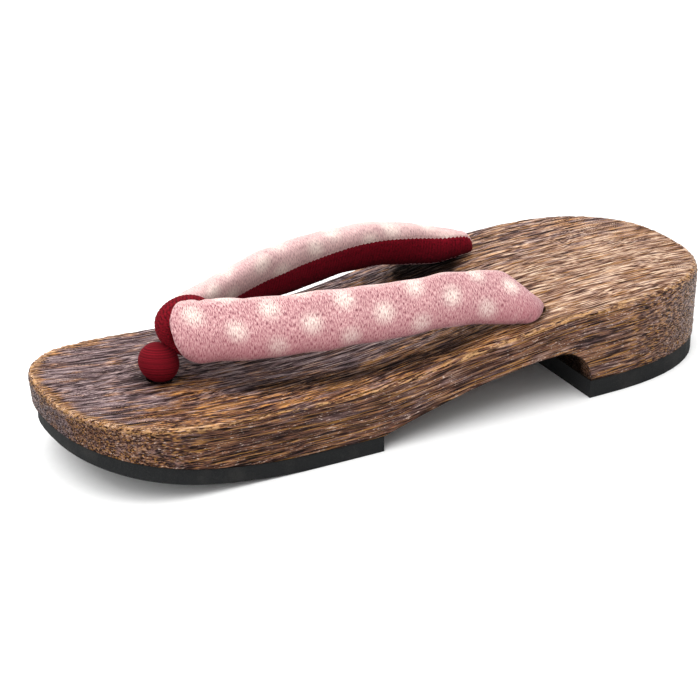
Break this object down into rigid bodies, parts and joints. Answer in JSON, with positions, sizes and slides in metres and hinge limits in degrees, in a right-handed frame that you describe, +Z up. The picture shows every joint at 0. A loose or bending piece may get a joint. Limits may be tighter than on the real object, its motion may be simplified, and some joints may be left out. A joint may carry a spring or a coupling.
{
  "type": "geta sandal",
  "caption": "Low wooden geta sandal: carved base with a sloped arch and notch, rubber soles under heel and forefoot, padded V strap with a toe thong.",
  "frame": {"origin": "on the ground under the middle of the base", "axes": "+X from the heel to the toe, +Z up, the base symmetric about the XZ plane"},
  "size_m": [0.241, 0.08, 0.0515],
  "materials": {
    "scorched_wood": "scorched and wire-brushed grain under a clear gloss lacquer",
    "charcoal_rubber": "matte sheet rubber with cut edges",
    "pink_crepe": "padded crepe with soft white dots, crimson velvet on the underside",
    "crimson_velvet": "ribbed crimson velvet cord"
  },
  "bodies": {
    "root": {"wooden_base": "scorched_wood", "front_rubber_sole": "charcoal_rubber", "heel_rubber_sole": "charcoal_rubber", "strap": "pink_crepe", "toe_thong": "crimson_velvet"}
  },
  "joints": []
}
